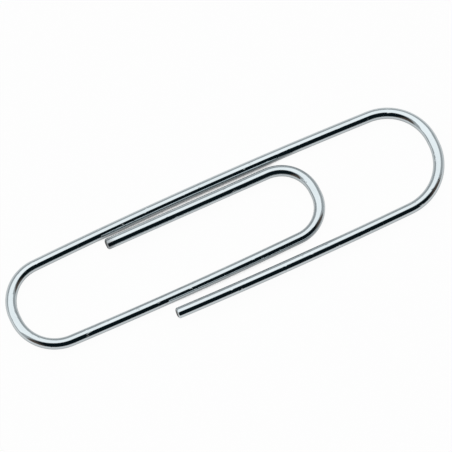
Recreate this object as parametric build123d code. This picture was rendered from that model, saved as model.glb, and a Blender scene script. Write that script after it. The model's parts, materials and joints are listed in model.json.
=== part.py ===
from build123d import *
from math import cos, degrees, radians, sin, sqrt
import os

# A wire paper clip: one round wire, bent three times almost in one plane. It lies flat on its outer loop,
# and its bends keep a slight twist that holds its two free ends a little above that plane.
# X runs along the clip towards the front bend, Y across it towards the outer leg, Z up.
# The origin is under the middle of the clip's outline, on the surface it lies on.

# Driving dimensions, in millimetres and degrees
wire_diameter = 0.80
outer_leg_length = 26.06
outer_tail_length = 18.25
tongue_leg_shortfall = 8.32  # how much shorter the tongue leg is than the outer leg
tongue_tail_setback = 8.46  # from the heel's outer edge to the tongue's cut end, along X
heel_radius = 2.94  # centreline radius of the heel bend
front_leg_radius = 3.435  # centreline radius of the front bend, on the outer leg's side
leg_bow_radius = 363.0  # each leg but the tongue tail keeps this slight outward bow
outer_tail_splay = 0.70  # angle of the outer tail to X, leaving the tongue leg towards its cut end
tongue_tail_splay = 0.14  # angle of the tongue tail to X, leaving the outer leg towards its cut end
tongue_tail_gap = 0.24  # between the tongue's cut end and the outer leg
outer_tail_gap = 0.43  # between the tongue leg and the front end of the outer tail
heel_twist = 0.4  # angle that the heel bend is left twisted by, which raises the tongue
front_twist = 1.6  # the same for the front bend, which raises the outer tail
tongue_twist = 1.3  # the same for the tongue bend, which raises the tongue tail
twist_length = 0.15  # straight wire on each side of the middle of a bend, where the bend twists
twist_clearance = 0.01  # between the two faces that turn on each other there
tip_round = 0.08  # rounding of the two cut ends

# Each leg meets its bends at half the angle that its bow turns through, more or less its splay
quarter_turn = 90
tongue_leg_length = outer_leg_length - tongue_leg_shortfall
outer_leg_lean = degrees(outer_leg_length / leg_bow_radius) / 2
outer_tail_lean = degrees(outer_tail_length / leg_bow_radius) / 2
tongue_leg_lean = degrees(tongue_leg_length / leg_bow_radius) / 2
outer_tail_front_lean = outer_tail_lean + outer_tail_splay


def sine(angle):
    return sin(radians(angle))


def cosine(angle):
    return cos(radians(angle))


def bend_reach(radius, lean):
    """How far past its leg's end the middle of a bend lies, along X."""
    return radius * (1 - sine(lean))


def bend_drop(radius, lean):
    """How far from its leg's end the middle of a bend lies, across the clip."""
    return radius * cosine(lean) + twist_length


def leg_reach(lean):
    """How far apart a bowed leg's ends are."""
    return 2 * leg_bow_radius * sine(lean)


def leg_rise(lean):
    """How far the outermost point of a bowed leg stands out from its end."""
    return leg_bow_radius * (1 - cosine(lean))


# Places on the centreline in the flat, first measured from the middle of the heel bend
outer_leg_heel_x = bend_reach(heel_radius, outer_leg_lean)
outer_leg_middle_x = outer_leg_heel_x + leg_reach(outer_leg_lean) / 2
outer_leg_y = bend_drop(heel_radius, outer_leg_lean)
outer_leg_highest_y = outer_leg_y + leg_rise(outer_leg_lean)
tongue_leg_front_x = bend_reach(heel_radius, tongue_leg_lean) + leg_reach(tongue_leg_lean)
tongue_leg_y = -bend_drop(heel_radius, tongue_leg_lean)

# The tongue's cut end lies beside the outer leg, and the tongue bend takes the width that is left
tip_x = tongue_tail_setback - wire_diameter / 2
tip_bow_radius = leg_bow_radius - wire_diameter - tongue_tail_gap
tip_bow_y = sqrt(tip_bow_radius**2 - (tip_x - outer_leg_middle_x) ** 2)
tip_y = outer_leg_highest_y - leg_bow_radius + tip_bow_y
tongue_width = (tongue_leg_front_x - tip_x) * sine(tongue_tail_splay) + (
    tip_y - tongue_leg_y - 2 * twist_length
) * cosine(tongue_tail_splay)
tongue_radius = tongue_width / (1 + cosine(tongue_leg_lean - tongue_tail_splay))
tongue_nose_x = tongue_leg_front_x + bend_reach(tongue_radius, tongue_leg_lean)
tongue_tail_front_x = tongue_nose_x - bend_reach(tongue_radius, -tongue_tail_splay)
tongue_tail_length = (tongue_tail_front_x - tip_x) / cosine(tongue_tail_splay)

# The outer tail lies outside the tongue leg's bow, and the front bend takes the width that makes
tongue_leg_lowest_y = tongue_leg_y - leg_rise(tongue_leg_lean)
outer_tail_y = tongue_leg_lowest_y - wire_diameter - outer_tail_gap
front_y = outer_leg_y - bend_drop(front_leg_radius, outer_leg_lean)
front_tail_radius = (front_y - outer_tail_y - twist_length) / cosine(outer_tail_front_lean)

# The clip's outline, and from it the origin
front_x = outer_leg_heel_x + leg_reach(outer_leg_lean) + bend_reach(front_leg_radius, outer_leg_lean)
outer_tail_lowest_y = outer_tail_y - leg_rise(outer_tail_front_lean)
origin = Vector(front_x / 2, (outer_leg_highest_y + outer_tail_lowest_y) / 2, -wire_diameter / 2)
outer_tail_front = Vector(front_x - bend_reach(front_tail_radius, outer_tail_front_lean), outer_tail_y)
outer_tail_run = Vector(cosine(outer_tail_splay), sine(outer_tail_splay)) * leg_reach(outer_tail_lean)
outer_tail_tip = outer_tail_front - outer_tail_run - origin

# The bending programme, from the outer cut end to the tongue's: what each stretch of wire does in turn.
# A bend is a radius and the angle it turns left, and a feed is a straight length.
twist_feed = ("feed", twist_length - twist_clearance / 2)
clearance = [("feed", twist_clearance)]
programme = [
    ("outer_tail", [("bend", leg_bow_radius, 2 * outer_tail_lean)]),
    ("front_bend_tail_side", [("bend", front_tail_radius, quarter_turn - outer_tail_front_lean), twist_feed]),
    (None, clearance),
    ("front_bend_leg_side", [twist_feed, ("bend", front_leg_radius, quarter_turn - outer_leg_lean)]),
    ("outer_leg", [("bend", leg_bow_radius, 2 * outer_leg_lean)]),
    ("heel_bend_leg_side", [("bend", heel_radius, quarter_turn - outer_leg_lean), twist_feed]),
    (None, clearance),
    ("heel_bend_tongue_side", [twist_feed, ("bend", heel_radius, quarter_turn - tongue_leg_lean)]),
    ("tongue_leg", [("bend", leg_bow_radius, 2 * tongue_leg_lean)]),
    ("tongue_bend_leg_side", [("bend", tongue_radius, quarter_turn - tongue_leg_lean), twist_feed]),
    (None, clearance),
    ("tongue_bend_tail_side", [twist_feed, ("bend", tongue_radius, quarter_turn + tongue_tail_splay)]),
    ("tongue_tail", [("feed", tongue_tail_length)]),
]


def follow(start, heading, moves):
    """The centreline of one stretch, with the point and the heading that it ends on."""
    edges = []
    for kind, *sizes in moves:
        along = Vector(cosine(heading), sine(heading))
        if kind == "feed":
            edge = Line(start, start + along * sizes[0])
        else:
            radius, turn = sizes
            edge = JernArc(start, along, radius, turn)
            heading += turn
        edges.append(edge)
        start = edge @ 1
    return Wire(edges), start, heading


def wire_along(path):
    """Solid wire of the clip's diameter along a centreline."""
    section = Plane(path @ 0, z_dir=path % 0) * Circle(wire_diameter / 2)
    return sweep(section, path=path)


def rounded_tip(stretch, tip):
    """The stretch with the rim of its cut end at that point rounded."""
    cut_face = stretch.faces().filter_by(GeomType.PLANE).sort_by_distance(tip)[0]
    return fillet(cut_face.edges(), tip_round)


point = outer_tail_tip
heading = outer_tail_splay - outer_tail_lean
stretches = {}
twist_axes = []
wire_length = 0
for node, moves in programme:
    path, next_point, heading = follow(point, heading, moves)
    wire_length += path.length
    if node:
        stretches[node] = wire_along(path)
    else:
        twist_axes.append(Axis((point + next_point) / 2, (0, 1, 0)))
    point = next_point

stretches["outer_tail"] = rounded_tip(stretches["outer_tail"], outer_tail_tip)
stretches["tongue_tail"] = rounded_tip(stretches["tongue_tail"], point)

# The twist that each bend is left with raises the free ends out of the flat
front_axis, heel_axis, tongue_axis = twist_axes
outer_free_end = ("outer_tail", "front_bend_tail_side")
tongue = ("heel_bend_tongue_side", "tongue_leg", "tongue_bend_leg_side")
tongue_free_end = ("tongue_bend_tail_side", "tongue_tail")
twists = [
    (outer_free_end, front_axis, front_twist),
    (tongue_free_end, tongue_axis, tongue_twist),
    (tongue + tongue_free_end, heel_axis, -heel_twist),
]
for nodes, axis, angle in twists:
    for node in nodes:
        stretches[node] = stretches[node].rotate(axis, angle)
tongue_twist_place = Vertex(tongue_axis.position).rotate(heel_axis, -heel_twist).center()

os.makedirs("parts", exist_ok=True)
for node, shape in stretches.items():
    export_step(shape, f"parts/{node}.step")

box = Compound(list(stretches.values())).bounding_box()
print(f"size {box.size.X:.3f} x {box.size.Y:.3f} x {box.size.Z:.3f}, wire {wire_length:.2f} long")
print(f"lowest {box.min.X:.3f}, {box.min.Y:.3f}, {box.min.Z:.3f}")
print(f"bend radii: front, tail side {front_tail_radius:.3f}, tongue {tongue_radius:.3f}")
twist_places = {"front": front_axis.position, "heel": heel_axis.position, "tongue": tongue_twist_place}
for name, place in twist_places.items():
    print(f"{name} bend twists about Y at {place.X:.4f}, {place.Y:.4f}, {place.Z:.4f}")
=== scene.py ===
from collections import namedtuple
import json
from math import cos, pi, radians, sin
import random

import bpy
from mathutils import Matrix, Vector


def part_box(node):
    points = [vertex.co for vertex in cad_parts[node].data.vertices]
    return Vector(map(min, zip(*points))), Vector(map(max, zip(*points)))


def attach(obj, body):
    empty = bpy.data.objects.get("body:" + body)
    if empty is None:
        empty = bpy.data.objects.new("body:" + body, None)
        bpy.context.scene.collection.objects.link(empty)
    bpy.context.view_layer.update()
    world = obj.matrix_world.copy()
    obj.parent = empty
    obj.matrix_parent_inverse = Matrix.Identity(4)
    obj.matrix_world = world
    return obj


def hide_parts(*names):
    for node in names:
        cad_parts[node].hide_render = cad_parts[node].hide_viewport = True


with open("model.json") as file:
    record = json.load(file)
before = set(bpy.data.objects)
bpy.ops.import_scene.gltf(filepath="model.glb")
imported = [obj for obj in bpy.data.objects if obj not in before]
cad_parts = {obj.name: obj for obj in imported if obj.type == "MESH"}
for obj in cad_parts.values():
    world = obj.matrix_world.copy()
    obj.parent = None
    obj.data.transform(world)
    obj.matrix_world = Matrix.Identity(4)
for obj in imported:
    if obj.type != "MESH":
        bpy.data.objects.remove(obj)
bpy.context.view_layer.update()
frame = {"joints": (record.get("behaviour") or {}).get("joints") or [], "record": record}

# A bright wire paper clip lying on a white table, seen from above at a slant.
# Metres and degrees. X runs along the clip to its front bend, Y across it to its outer leg, Z up.

# The clip's own sizes, as its solids have them
wire_diameter = 0.0008
outer_leg_length = 0.02606
outer_tail_length = 0.01825
tongue_leg_length = 0.01774
heel_radius = 0.00294
leg_bow_radius = 0.363
outer_tail_splay = 0.70
tongue_tail_splay = 0.14
heel_twist = 0.4
front_twist = 1.6
tongue_twist = 1.3
twist_length = 0.00015

# The wire's mesh
wire_sides = 48
bend_ring_gap = 0.0001
leg_ring_gap = 0.00025
twist_gap = 0.000001  # between the hidden ends that turn on each other in the middle of each bend
tip_round = 0.00014  # rounding of the rim of a cut end, a little more than its solid has
tip_corner_rings = 8  # round that rim
tip_plated_rings = 7  # how many of those are still plated
tip_face_rings = 7
tip_crown = 0.00003  # how far a cut end bulges in its middle
tip_tear = 0.000012  # depth of the torn lower half of a cut end
tip_seed = 7

# The wire's finish
plating_dull = (0.55, 0.60, 0.62, 1)
plating_bright = (0.60, 0.65, 0.67, 1)
plating_roughness = (0.09, 0.04)  # of the dull and of the bright patches
drawn_line_length = 0.006
drawn_line_width = 0.00004
drawn_line_depth = 0.0000012
drawn_line_detail = 3
ripple_length = 0.0025
ripple_depth = 0.000004
ripple_detail = 1
patch_length = 0.003
patch_width = 0.00075
patch_detail = 4
nick_length = 0.0005
nick_width = 0.0002
nick_share = (0.73, 0.8)  # how high the noise of the nicks is where one starts and where it is full
nick_depth = 0.000006
nick_detail = 0
scuff_length = 0.0008  # of the dull end of the tongue
scuff_roughness = 0.16
scuff_colour = (0.33, 0.35, 0.36, 1)
steel_dark = (0.08, 0.08, 0.08, 1)
steel_light = (0.18, 0.18, 0.17, 1)
steel_roughness = (0.5, 0.35)  # of the dark and of the light grains
cut_grain = 0.00006
cut_grain_depth = 0.000006
cut_grain_detail = 3
noise_span = (0.3, 0.7)  # between which most values of a noise lie

# The photograph's camera
image_width = 0.03179  # what the picture's width spans at the clip
camera_lens = 1000
camera_sensor = 36
camera_turn = -25.37
camera_tilt = 20
camera_nearest = 0.01
camera_aim = Vector((0.000212, 0.000671, wire_diameter / 2))

# The table and the light
table_side = 6
table_colour = (0.82, 0.82, 0.82, 1)
table_shift = (1, 0, 0)  # keeps the seam across the middle of the table out of the picture
table_seen_white = 0.97  # how far the camera sees the table as plain white
painted_gap_shade = (0.05, 0.26)  # painted shade: how open the table is to the sky where that white starts and where it is full; below that the camera's white is painted darker
table_mirrored_white = 0.8  # how far the metal mirrors the table as a white glow, with painted shade where the table is closed off from the sky
painted_shade_reach = 0.004  # how near the wire closes the table off from the sky, for the painted shade on the table and in the metal
softbox_height = 1.3
softbox_width = 5.3  # along X
softbox_depth = 1.8  # along Y
softbox_shift = Vector((-1.35, 0.83, 0))
softbox_radiance = 0.85
pale_side = (0.50, 0.52, 0.53, 1)  # the room towards +Y
pale_side_edge = (-0.16, -0.02)  # where along Y that starts and where it is full, in directions
pale_side_spread = 0.2  # how much further it reaches to each side
dark_side = ((0.0, (0.20, 0.21, 0.22, 1)), (0.15, (0.004, 0.009, 0.012, 1)))  # the rest, by height
warm_side = (0.12, 0.09, 0.075, 1)  # what the dark side turns into towards its two ends
warm_side_edge = (0.58, 0.78)  # where along X that starts and where it is full, in directions

wire_radius = wire_diameter / 2
quarter = pi / 2
joint_place = {joint["name"]: Vector(joint["pos_m"]) for joint in frame["joints"]}
heel_place = joint_place["heel_twist"]
front_place = joint_place["front_twist"]
tongue_place = joint_place["tongue_twist"]

# Each leg meets its bends at half the angle that its bow turns through, more or less its splay
outer_leg_lean = outer_leg_length / leg_bow_radius / 2
outer_tail_lean = outer_tail_length / leg_bow_radius / 2
outer_tail_front_lean = outer_tail_lean + radians(outer_tail_splay)
tongue_leg_lean = tongue_leg_length / leg_bow_radius / 2
tongue_tail_lean = radians(tongue_tail_splay)

# What the joints and the outlines of the solids say about the other bends and the tongue tail
outer_tail_rise = leg_bow_radius * (1 - cos(outer_tail_front_lean))
outer_tail_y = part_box("outer_tail")[0].y + wire_radius + outer_tail_rise
front_leg_radius = heel_radius + (heel_place.y - front_place.y) / cos(outer_leg_lean)
front_tail_radius = (front_place.y - twist_length - outer_tail_y) / cos(outer_tail_front_lean)
tongue_radius = heel_radius + (tongue_place.y - heel_place.y) / cos(tongue_leg_lean)
tongue_tail_front_x = tongue_place.x - tongue_radius * (1 + sin(tongue_tail_lean))
tongue_tail_length = (tongue_tail_front_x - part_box("tongue_tail")[0].x) / cos(tongue_tail_lean)

# What the wire does on each body, from the outer cut end to the tongue's.
# A bend is a radius and the angle it turns left, and a feed is a straight length.
twist_feed = ("feed", twist_length - twist_gap / 2)
programme = {
    "outer_free_end": [
        ("bend", leg_bow_radius, 2 * outer_tail_lean),
        ("bend", front_tail_radius, quarter - outer_tail_front_lean),
        twist_feed,
    ],
    "outer_loop": [
        twist_feed,
        ("bend", front_leg_radius, quarter - outer_leg_lean),
        ("bend", leg_bow_radius, 2 * outer_leg_lean),
        ("bend", heel_radius, quarter - outer_leg_lean),
        twist_feed,
    ],
    "tongue": [
        twist_feed,
        ("bend", heel_radius, quarter - tongue_leg_lean),
        ("bend", leg_bow_radius, 2 * tongue_leg_lean),
        ("bend", tongue_radius, quarter - tongue_leg_lean),
        twist_feed,
    ],
    "tongue_free_end": [
        twist_feed,
        ("bend", tongue_radius, quarter + tongue_tail_lean),
        ("feed", tongue_tail_length),
    ],
}
first_body = "outer_free_end"
last_body = "tongue_free_end"

# One round of the wire's mesh: its centre, the wire's heading and length there, its radius,
# and whether it is on cut steel
Ring = namedtuple("Ring", "centre heading length radius cut")


def flat(angle):
    return Vector((cos(angle), sin(angle), 0))


def follow(centre, heading, length, moves):
    """The rings of a stretch of wire, from a place on its centreline on."""
    rings = [Ring(centre, heading, length, wire_radius, False)]
    for kind, *sizes in moves:
        if kind == "feed":
            span = sizes[0]
            count = max(1, round(span / leg_ring_gap))
            step = span / count
            turn = 0
        else:
            radius, angle = sizes
            gap = leg_ring_gap if radius == leg_bow_radius else bend_ring_gap
            count = round(radius * angle / gap)
            turn = angle / count
            step = 2 * radius * sin(turn / 2)
            span = radius * angle
        for number in range(1, count + 1):
            centre = centre + flat(heading + turn / 2) * step
            heading += turn
            rings.append(Ring(centre, heading, length + span * number / count, wire_radius, False))
        length += span
    return rings


def cut_tip(end, outward):
    """The rings of a cut end, from the wire's side to the middle of its face."""
    along = flat(end.heading) * outward
    rings = []
    for number in range(tip_corner_rings + 1):
        turn = quarter * number / tip_corner_rings
        back = tip_round * (1 - sin(turn))
        radius = wire_radius - tip_round * (1 - cos(turn))
        centre = end.centre - along * back
        cut = number >= tip_plated_rings
        rings.append(Ring(centre, end.heading, end.length - outward * back, radius, cut))
    face_radius = wire_radius - tip_round
    for number in range(1, tip_face_rings):
        reach = 1 - number / tip_face_rings
        centre = end.centre + along * tip_crown * (1 - reach * reach)
        rings.append(Ring(centre, end.heading, end.length, face_radius * reach, True))
    return rings


def wire_mesh(name, rings, draw):
    """A closed skin over the rings, with its torn places drawn at random."""
    points = []
    places = []
    for ring in rings:
        left = flat(ring.heading + quarter)
        for side in range(wire_sides):
            angle = 2 * pi * side / wire_sides
            across = ring.radius * sin(angle)
            up = ring.radius * cos(angle)
            torn = tip_tear * draw.uniform(-1, 1) if ring.cut and up < 0 else 0
            points.append(ring.centre + left * across + Vector((0, 0, up)) + flat(ring.heading) * torn)
            places.append((ring.length, across, up))
    faces = []
    finishes = []
    for row in range(len(rings) - 1):
        for side in range(wire_sides):
            a = row * wire_sides + side
            b = row * wire_sides + (side + 1) % wire_sides
            faces.append((a, a + wire_sides, b + wire_sides, b))
            finishes.append(rings[row].cut and rings[row + 1].cut)
    for ring, row in ((rings[0], 0), (rings[-1], len(rings) - 1)):
        centre = len(points)
        points.append(ring.centre)
        places.append((ring.length, 0, 0))
        for side in range(wire_sides):
            a = row * wire_sides + side
            b = row * wire_sides + (side + 1) % wire_sides
            faces.append((a, b, centre) if row == 0 else (b, a, centre))
            finishes.append(ring.cut)
    mesh = bpy.data.meshes.new(name)
    mesh.from_pydata(points, [], faces)
    mesh.shade_smooth()
    mesh.polygons.foreach_set("material_index", [int(cut) for cut in finishes])
    place = mesh.attributes.new("wire_place", "FLOAT_VECTOR", "POINT")
    place.data.foreach_set("vector", [number for each in places for number in each])
    return mesh


def sharpen(mesh, row):
    """Keep the hidden flat end at this ring from bending the shading of the wire's side."""
    rim = set(range(row * wire_sides, (row + 1) * wire_sides))
    for edge in mesh.edges:
        if rim.issuperset(edge.vertices):
            edge.use_edge_sharp = True


def lay_wire():
    """The meshes of the whole wire by body, in the flat, and its length."""
    heading = radians(outer_tail_splay) - outer_tail_lean
    start = Vector((0, 0, 0))
    end = follow(start, heading, 0, programme[first_body])[-1]
    start = front_place - flat(end.heading) * twist_gap / 2 - end.centre
    length = 0
    laid = {}
    draw = random.Random(tip_seed)
    for body, moves in programme.items():
        if body != first_body:
            start = start + flat(heading) * twist_gap
            length += twist_gap
        rings = follow(start, heading, length, moves)
        start, heading, length = rings[-1][:3]
        if body == first_body:
            rings = cut_tip(rings[0], -1)[::-1] + rings[1:]
        if body == last_body:
            rings = rings[:-1] + cut_tip(rings[-1], 1)
        mesh = wire_mesh(body + "_wire", rings, draw)
        if body != first_body:
            sharpen(mesh, 0)
        if body != last_body:
            sharpen(mesh, len(rings) - 1)
        laid[body] = mesh
    return laid, length


def turn_about(place, angle):
    """The turn about the line along Y through a place, which raises what lies from there towards -X."""
    return Matrix.Translation(place) @ Matrix.Rotation(radians(angle), 4, "Y") @ Matrix.Translation(-place)


def left_twisted():
    """How the twist that each bend is left with turns each body out of the flat."""
    tongue = turn_about(heel_place, -heel_twist)
    nose = turn_about(tongue.inverted() @ tongue_place, tongue_twist)
    return {
        "outer_free_end": turn_about(front_place, front_twist),
        "outer_loop": Matrix(),
        "tongue": tongue,
        "tongue_free_end": tongue @ nose,
    }


def new_material(name):
    material = bpy.data.materials.new(name)
    material.use_nodes = True
    return material, material.node_tree.nodes, material.node_tree.links


def wire_noise(nodes, links, along, across, detail):
    """Noise that lies along the wire: how long and how wide its grains are."""
    place = nodes.new("ShaderNodeAttribute")
    place.attribute_name = "wire_place"
    mapping = nodes.new("ShaderNodeMapping")
    mapping.inputs["Scale"].default_value = (1 / along, 1 / across, 1 / across)
    noise = nodes.new("ShaderNodeTexNoise")
    noise.inputs["Scale"].default_value = 1
    noise.inputs["Detail"].default_value = detail
    links.new(place.outputs["Vector"], mapping.inputs["Vector"])
    links.new(mapping.outputs["Vector"], noise.inputs["Vector"])
    return noise.outputs["Fac"]


def spread(nodes, links, value, low, high):
    """The value of a noise, brought from its usual span to the span that is wanted."""
    span = nodes.new("ShaderNodeMapRange")
    span.inputs["From Min"].default_value = noise_span[0]
    span.inputs["From Max"].default_value = noise_span[1]
    span.inputs["To Min"].default_value = low
    span.inputs["To Max"].default_value = high
    links.new(value, span.inputs["Value"])
    return span.outputs["Result"]


def bump(nodes, links, height, depth, under=None):
    node = nodes.new("ShaderNodeBump")
    node.inputs["Distance"].default_value = depth
    links.new(height, node.inputs["Height"])
    if under:
        links.new(under, node.inputs["Normal"])
    return node.outputs["Normal"]


def eased(nodes, links, value, first, last):
    """A value that goes smoothly from 0 to 1 while another goes from first to last."""
    span = nodes.new("ShaderNodeMapRange")
    span.interpolation_type = "SMOOTHSTEP"
    span.inputs["From Min"].default_value = first
    span.inputs["From Max"].default_value = last
    links.new(value, span.inputs["Value"])
    return span.outputs["Result"]


def blend(nodes, links, factor, first, second):
    """A colour between two others, each of them a colour or a node's output."""
    mix = nodes.new("ShaderNodeMix")
    mix.data_type = "RGBA"
    links.new(factor, mix.inputs["Factor"])
    for name, colour in (("A", first), ("B", second)):
        if isinstance(colour, tuple):
            mix.inputs[name].default_value = colour
        else:
            links.new(colour, mix.inputs[name])
    return mix.outputs["Result"]


def tongue_scuff(nodes, links, wire_length):
    """How scuffed the wire is at each place: all over its far end, the tongue's, and fading from there."""
    place = nodes.new("ShaderNodeAttribute")
    place.attribute_name = "wire_place"
    parts = nodes.new("ShaderNodeSeparateXYZ")
    links.new(place.outputs["Vector"], parts.inputs["Vector"])
    return eased(nodes, links, parts.outputs["X"], wire_length - scuff_length, wire_length)


def plated_wire(wire_length):
    material, nodes, links = new_material("plated_wire")
    shader = nodes["Principled BSDF"]
    shader.inputs["Metallic"].default_value = 1
    lines = wire_noise(nodes, links, drawn_line_length, drawn_line_width, drawn_line_detail)
    ripple = wire_noise(nodes, links, ripple_length, ripple_length, ripple_detail)
    patches = wire_noise(nodes, links, patch_length, patch_width, patch_detail)
    scuff = tongue_scuff(nodes, links, wire_length)
    clean = blend(nodes, links, spread(nodes, links, patches, 0, 1), plating_dull, plating_bright)
    links.new(blend(nodes, links, scuff, clean, scuff_colour), shader.inputs["Base Color"])
    roughness = nodes.new("ShaderNodeMath")
    roughness.operation = "MULTIPLY_ADD"
    links.new(scuff, roughness.inputs[0])
    roughness.inputs[1].default_value = scuff_roughness
    links.new(spread(nodes, links, patches, *plating_roughness), roughness.inputs[2])
    links.new(roughness.outputs["Value"], shader.inputs["Roughness"])
    waves = bump(nodes, links, ripple, ripple_depth)
    drawn = bump(nodes, links, lines, drawn_line_depth, waves)
    specks = wire_noise(nodes, links, nick_length, nick_width, nick_detail)
    nicks = eased(nodes, links, specks, *nick_share)
    links.new(bump(nodes, links, nicks, nick_depth, drawn), shader.inputs["Normal"])
    return material


def cut_steel():
    """The bare steel of the two sheared ends, which the plating doesn't cover."""
    material, nodes, links = new_material("cut_steel")
    shader = nodes["Principled BSDF"]
    shader.inputs["Metallic"].default_value = 1
    grains = wire_noise(nodes, links, cut_grain, cut_grain, cut_grain_detail)
    colour = blend(nodes, links, spread(nodes, links, grains, 0, 1), steel_dark, steel_light)
    links.new(colour, shader.inputs["Base Color"])
    links.new(spread(nodes, links, grains, *steel_roughness), shader.inputs["Roughness"])
    links.new(bump(nodes, links, grains, cut_grain_depth), shader.inputs["Normal"])
    return material


def share(nodes, links, seen, most):
    """A share of a kind of ray, up to the most that is wanted."""
    part = nodes.new("ShaderNodeMath")
    part.operation = "MULTIPLY"
    part.inputs[1].default_value = most
    links.new(seen, part.inputs[0])
    return part.outputs["Value"]


def glow(nodes, links, strength):
    white = nodes.new("ShaderNodeEmission")
    links.new(strength, white.inputs["Strength"])
    return white.outputs["Emission"]


def mixed(nodes, links, part, first, second):
    mix = nodes.new("ShaderNodeMixShader")
    links.new(part, mix.inputs["Fac"])
    links.new(first, mix.inputs[1])
    links.new(second, mix.inputs[2])
    return mix.outputs["Shader"]


def table_white():
    """Pale paper that keeps the clip's shadow, and looks white to the camera and, less so, in the metal,
    with painted shade where it is closed off from the sky near and between the wires.
    """
    material, nodes, links = new_material("table_white")
    nodes.remove(nodes["Principled BSDF"])
    paper = nodes.new("ShaderNodeBsdfDiffuse")
    paper.inputs["Color"].default_value = table_colour
    path = nodes.new("ShaderNodeLightPath")
    mirror = nodes.new("ShaderNodeMath")
    mirror.operation = "MAXIMUM"
    links.new(path.outputs["Is Glossy Ray"], mirror.inputs[0])
    links.new(path.outputs["Is Transmission Ray"], mirror.inputs[1])
    openness = nodes.new("ShaderNodeAmbientOcclusion")
    openness.inputs["Distance"].default_value = painted_shade_reach
    mirrored_share = share(nodes, links, mirror.outputs["Value"], table_mirrored_white)
    # Painted shade: the white that the metal mirrors is a glow dimmed by how closed off the table is
    mirrored_white = glow(nodes, links, openness.outputs["AO"])
    mirrored = mixed(nodes, links, mirrored_share, paper.outputs["BSDF"], mirrored_white)
    seen_share = share(nodes, links, path.outputs["Is Camera Ray"], table_seen_white)
    # Painted shade: the camera's white glow is painted darker where the table is closed off, between and
    # beside the wires
    seen_white = glow(nodes, links, eased(nodes, links, openness.outputs["AO"], *painted_gap_shade))
    seen = mixed(nodes, links, seen_share, mirrored, seen_white)
    links.new(seen, nodes["Material Output"].inputs["Surface"])
    return material


def room():
    """What the metal mirrors beside the softbox: pale towards +Y, dark behind the camera, grey low down."""
    world = bpy.data.worlds.new("room")
    world.use_nodes = True
    nodes, links = world.node_tree.nodes, world.node_tree.links
    direction = nodes.new("ShaderNodeTexCoord")
    parts = nodes.new("ShaderNodeSeparateXYZ")
    links.new(direction.outputs["Generated"], parts.inputs["Vector"])
    height = nodes.new("ShaderNodeValToRGB")
    for element, (position, colour) in zip(height.color_ramp.elements, dark_side):
        element.position = position
        element.color = colour
    links.new(parts.outputs["Z"], height.inputs["Fac"])
    sideways = nodes.new("ShaderNodeMath")
    sideways.operation = "ABSOLUTE"
    links.new(parts.outputs["X"], sideways.inputs[0])
    across = nodes.new("ShaderNodeMath")
    across.operation = "MULTIPLY_ADD"
    links.new(sideways.outputs["Value"], across.inputs[0])
    across.inputs[1].default_value = pale_side_spread
    links.new(parts.outputs["Y"], across.inputs[2])
    pale = eased(nodes, links, across.outputs["Value"], *pale_side_edge)
    warm = eased(nodes, links, sideways.outputs["Value"], *warm_side_edge)
    dark = blend(nodes, links, warm, height.outputs["Color"], warm_side)
    links.new(blend(nodes, links, pale, dark, pale_side), nodes["Background"].inputs["Color"])
    return world


def add_object(name, data):
    thing = bpy.data.objects.new(name, data)
    bpy.context.scene.collection.objects.link(thing)
    return thing


# The clip
meshes, wire_length = lay_wire()
plating = plated_wire(wire_length)
bare_steel = cut_steel()
turns = left_twisted()
for body, mesh in meshes.items():
    mesh.transform(turns[body])
    mesh.materials.append(plating)
    if body in (first_body, last_body):
        mesh.materials.append(bare_steel)
    piece = add_object(mesh.name, mesh)
    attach(piece, body)
    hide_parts(*frame["record"]["behaviour"]["bodies"][body])

# The table
bpy.ops.mesh.primitive_plane_add(size=table_side, location=table_shift)
table = bpy.context.object
table.name = "table"
table.data.materials.append(table_white())

# The softbox, overhead and behind the clip
softbox_data = bpy.data.lights.new("softbox", "AREA")
softbox_data.shape = "RECTANGLE"
softbox_data.size = softbox_width
softbox_data.size_y = softbox_depth
softbox_data.energy = softbox_radiance * pi * softbox_width * softbox_depth
softbox = add_object("softbox", softbox_data)
softbox.location = softbox_shift + Vector((0, 0, softbox_height))

# The room
bpy.context.scene.world = room()

# The camera
camera_data = bpy.data.cameras.new("camera")
camera_data.lens = camera_lens
camera_data.sensor_width = camera_sensor
camera_data.clip_start = camera_nearest
camera = add_object("camera", camera_data)
camera.rotation_euler = (radians(camera_tilt), 0, radians(camera_turn))
back = Vector((0, 0, image_width * camera_lens / camera_sensor))
back.rotate(camera.rotation_euler)
camera.location = camera_aim + back
bpy.context.scene.camera = camera
bpy.context.scene.view_settings.view_transform = "Standard"
